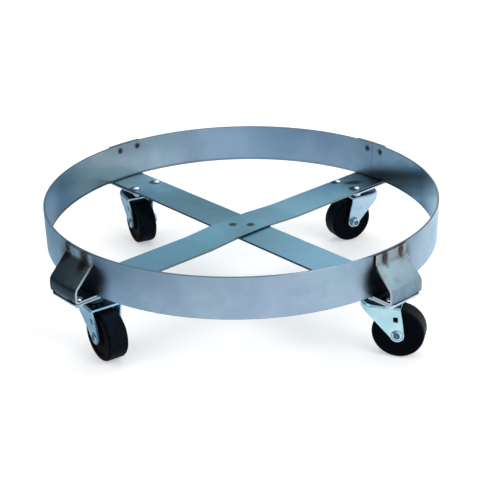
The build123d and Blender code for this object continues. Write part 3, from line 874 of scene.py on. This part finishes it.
def facing(point, normal):
    """Place whose Z is the normal at a point."""
    return Matrix.Translation(point) @ normal.to_track_quat("Z", "Y").to_matrix().to_4x4()


# Spot-weld marks: a shallow dish inside a burnt lip, on both faces of each strap's joint with the band, and
# larger on the top of the crossing.
DISH_PROFILE = ((0.0, 0.00012), (0.0010, 0.00014), (0.0018, 0.00030))
LIP_PROFILE = ((0.0018, 0.00030), (0.0027, 0.00036), (0.0036, 0.00022), (0.0040, -0.00012))
CROSSING_MARK_SCALE = 1.4


def strap_weld_places():
    """Where the straps' marks lie: the flanges' outer faces and the band's bore."""
    for corner in CORNERS:
        for offset, height in SPOT_WELDS[corner]:
            for reach, side in ((FLANGE_RADIUS, 1), (RING_BORE_RADIUS, -1)):
                azimuth = corner_azimuth(corner) + math.asin(offset / reach)
                outward = Vector((math.cos(azimuth), math.sin(azimuth), 0.0))
                yield facing(outward * reach + Vector((0, 0, RING_FOOT + height)), outward * side)


def crossing_weld_places():
    """Where the crossing's larger marks lie: the top of the upper bar."""
    for x, y in CROSSING_WELDS:
        place = facing(Vector((x, y, CROSSING_TOP)), Vector((0, 0, 1)))
        yield place @ Matrix.Scale(CROSSING_MARK_SCALE, 4)


weld_dish = weld_scale("weld_dish", (86, 72, 74), (50, 42, 46))
weld_lip = weld_scale("weld_lip", (40, 33, 36), (14, 11, 14))
crossing_dish = weld_scale("crossing_weld_dish", (56, 76, 80), (34, 50, 54))
crossing_lip = weld_scale("crossing_weld_lip", (44, 60, 64), (20, 30, 34))
for name, places, materials in (
    ("strap_weld_marks", strap_weld_places(), (weld_dish, weld_lip)),
    ("crossing_weld_marks", crossing_weld_places(), (crossing_dish, crossing_lip)),
):
    marks = turned_piece(name, places, (DISH_PROFILE, LIP_PROFILE), materials)
    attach(marks, "frame")

# Lock nuts: a nylon ring inside a crimped collar, on the nut's outer face.
NYLON_PROFILE = ((0.0040, 0.0007), (0.0043, 0.0010), (0.0047, 0.0010))
COLLAR_PROFILE = (
    (0.0047, 0.0010),
    (0.0050, 0.0013),
    (0.0054, 0.0012),
    (0.0058, 0.0009),
    (0.0060, 0.0004),
    (0.0060, -0.0001),
)


def lock_collar_place(corner):
    """Place on the axle nut's outer face, with Z outward along the axle."""
    spin = joints[f"{corner}_wheel_spin"]
    axle = Vector(spin["pos_m"])
    axis = Vector(spin["axis"])
    nut_low, nut_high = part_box(f"{corner}_axle_nut")
    reach = ((nut_low + nut_high) / 2 - axle).dot(axis)
    outward = axis if reach > 0 else -axis
    return facing(axle + outward * (abs(reach) + AXLE_NUT_HALF_HEIGHT), outward)


nylon = lock_nylon()
for corner in CORNERS:
    collar = turned_piece(
        f"{corner}_lock_collar",
        [lock_collar_place(corner)],
        (NYLON_PROFILE, COLLAR_PROFILE),
        (nylon, fastener_zinc),
    )
    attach(collar, f"{corner}_swivel")

# ---- Floor, backdrop and light ----
FLOOR_DROP = 0.0006
FLOOR_RADIUS = 14.0
FLOOR_SIDES = 96
WHITE = (1.0, 1.0, 1.0, 1.0)
PAPER = (0.80, 0.80, 0.80, 1.0)
DIM_PAPER = (0.16, 0.21, 0.27, 1.0)
DUSK = (0.72, 0.90, 1.0, 1.0)
BRIGHT_SIDE = (0.82, -0.12, 0.56)
SKY_FADE = (-0.62, 0.75)
FLOOR_FADE = (-1.1, 0.9)
LAMP_TARGET = (0.0, 0.0, 0.1)


def floor_paper():
    """Pale paper: brighter far out as the camera sees it, and dimmer towards -X as metal mirrors it."""
    shader = Shader("floor_paper", Roughness=0.9, Specular_IOR_Level=0.0)
    rays = shader.node("ShaderNodeLightPath").outputs
    glossy = rays["Is Glossy Ray"]
    mirrored = shader.product(glossy, shader.step(shader.axes[0], *FLOOR_FADE, 0.03, 0.42))
    paleness = shader.step(shader.centre_distance(), 0.9, 4.5, 0.42, 1.0)
    glow = shader.larger(shader.product(shader.plainly_seen(rays), paleness), mirrored)
    dimmed = shader.mix(shader.step(shader.axes[0], *FLOOR_FADE), DIM_PAPER, PAPER)
    shader.set(Base_Color=shader.mix(glossy, PAPER, dimmed), Emission_Color=WHITE, Emission_Strength=glow)
    return shader.material


def studio_world():
    """White for the camera, bright on one side for mirroring metal, and a dim light for all other rays."""
    world = bpy.data.worlds.new("studio")
    world.use_nodes = True
    sky = Nodes(world.node_tree)
    background = sky.node("ShaderNodeBackground")
    output = sky.node("ShaderNodeOutputWorld")
    sky.tree.links.new(background.outputs[0], output.inputs["Surface"])
    rays = sky.node("ShaderNodeLightPath").outputs
    glossy = rays["Is Glossy Ray"]
    direction = sky.node("ShaderNodeTexCoord").outputs["Generated"]
    side = sky.vector_math("DOT_PRODUCT", direction, BRIGHT_SIDE)["Value"]
    plain = sky.plainly_seen(rays)
    mirrored = sky.product(glossy, sky.step(side, *SKY_FADE, 0.10, 1.0))
    other_rays = sky.minus(1.0, sky.larger(plain, glossy))
    shaded = sky.product(other_rays, sky.step(side, -0.9, 0.9, 0.40, 0.62))
    mirrored_colour = sky.mix(sky.step(side, *SKY_FADE), DUSK, WHITE)
    sky.feed(background.inputs["Color"], sky.mix(glossy, WHITE, mirrored_colour))
    sky.feed(background.inputs["Strength"], sky.math("ADD", sky.larger(plain, mirrored), shaded))
    return world


def softbox(name, place, width, height, power):
    """A soft studio lamp that faces the dolly."""
    lamp = bpy.data.lights.new(name, "AREA")
    lamp.shape = "RECTANGLE"
    lamp.size = width
    lamp.size_y = height
    lamp.energy = power
    holder = bpy.data.objects.new(name, lamp)
    bpy.context.scene.collection.objects.link(holder)
    holder.location = place
    holder.rotation_euler = (Vector(LAMP_TARGET) - Vector(place)).to_track_quat("-Z", "Y").to_euler()
    holder.visible_camera = False


bpy.ops.mesh.primitive_circle_add(
    vertices=FLOOR_SIDES, radius=FLOOR_RADIUS, fill_type="NGON", location=(0, 0, -FLOOR_DROP)
)
floor = bpy.context.object
floor.name = "floor"
floor.data.materials.append(floor_paper())
bpy.context.scene.world = studio_world()
softbox("key", (1.7, -1.4, 1.9), 1.4, 1.4, 26.0)
softbox("fill", (-1.9, -0.8, 1.5), 1.2, 1.2, 7.0)
softbox("top", (0.2, 1.3, 2.3), 1.8, 1.0, 14.0)

# ---- Camera ----
CAMERA_AZIMUTH = math.radians(3.30)
CAMERA_ELEVATION = math.radians(24.90)
CAMERA_ROLL = math.radians(-1.35)
CAMERA_DISTANCE = 1.7440
CAMERA_LEFT = -0.00108
CAMERA_UP = 0.02593
LENS = 80.91
SENSOR_WIDTH = 36.0
back = Vector((
    math.sin(CAMERA_AZIMUTH) * math.cos(CAMERA_ELEVATION),
    -math.cos(CAMERA_AZIMUTH) * math.cos(CAMERA_ELEVATION),
    math.sin(CAMERA_ELEVATION),
))
level = Vector((math.cos(CAMERA_AZIMUTH), math.sin(CAMERA_AZIMUTH), 0.0))
upright = back.cross(level)
right = level * math.cos(CAMERA_ROLL) + upright * math.sin(CAMERA_ROLL)
up = upright * math.cos(CAMERA_ROLL) - level * math.sin(CAMERA_ROLL)
aim = Vector((0.0, 0.0, RING_FOOT))
eye = aim + back * CAMERA_DISTANCE - right * CAMERA_LEFT - up * CAMERA_UP
camera_data = bpy.data.cameras.new("camera")
camera_data.lens = LENS
camera_data.sensor_width = SENSOR_WIDTH
camera = bpy.data.objects.new("camera", camera_data)
bpy.context.scene.collection.objects.link(camera)
camera.matrix_world = Matrix((
    (right.x, up.x, back.x, eye.x),
    (right.y, up.y, back.y, eye.y),
    (right.z, up.z, back.z, eye.z),
    (0.0, 0.0, 0.0, 1.0),
))
bpy.context.scene.camera = camera
bpy.context.scene.view_settings.view_transform = "Standard"
